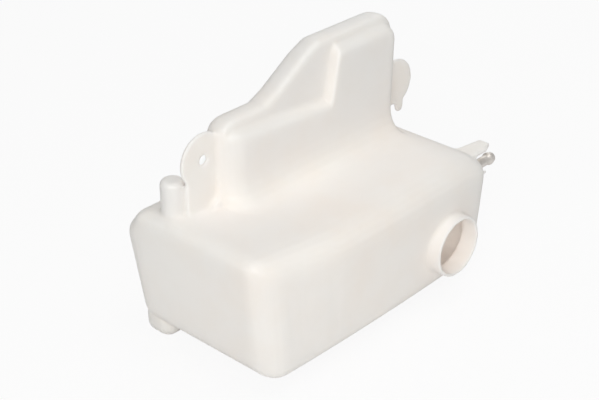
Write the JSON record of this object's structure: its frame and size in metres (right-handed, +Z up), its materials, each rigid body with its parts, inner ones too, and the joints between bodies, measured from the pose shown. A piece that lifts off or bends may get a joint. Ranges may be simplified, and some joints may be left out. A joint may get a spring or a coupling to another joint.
{
  "type": "coolant expansion tank",
  "caption": "Hollow moulded plastic coolant tank with a raised chamber along its back, an open filler neck at the front, two fixing ears, a hooked slot and a metal hose nipple.",
  "frame": {"origin": "centre of the left ear's fixing hole, in the mould's parting plane", "axes": "+X along the tank towards the hose nipple's end, +Y from the filler neck towards the back, +Z up"},
  "size_m": [0.3301, 0.203, 0.2534],
  "materials": {
    "tank_plastic": "natural white, translucent, soft satin",
    "nipple_metal": "plain drawn tube, slightly dull"
  },
  "bodies": {
    "root": {"tank": "tank_plastic", "hose_nipple": "nipple_metal"}
  },
  "joints": []
}
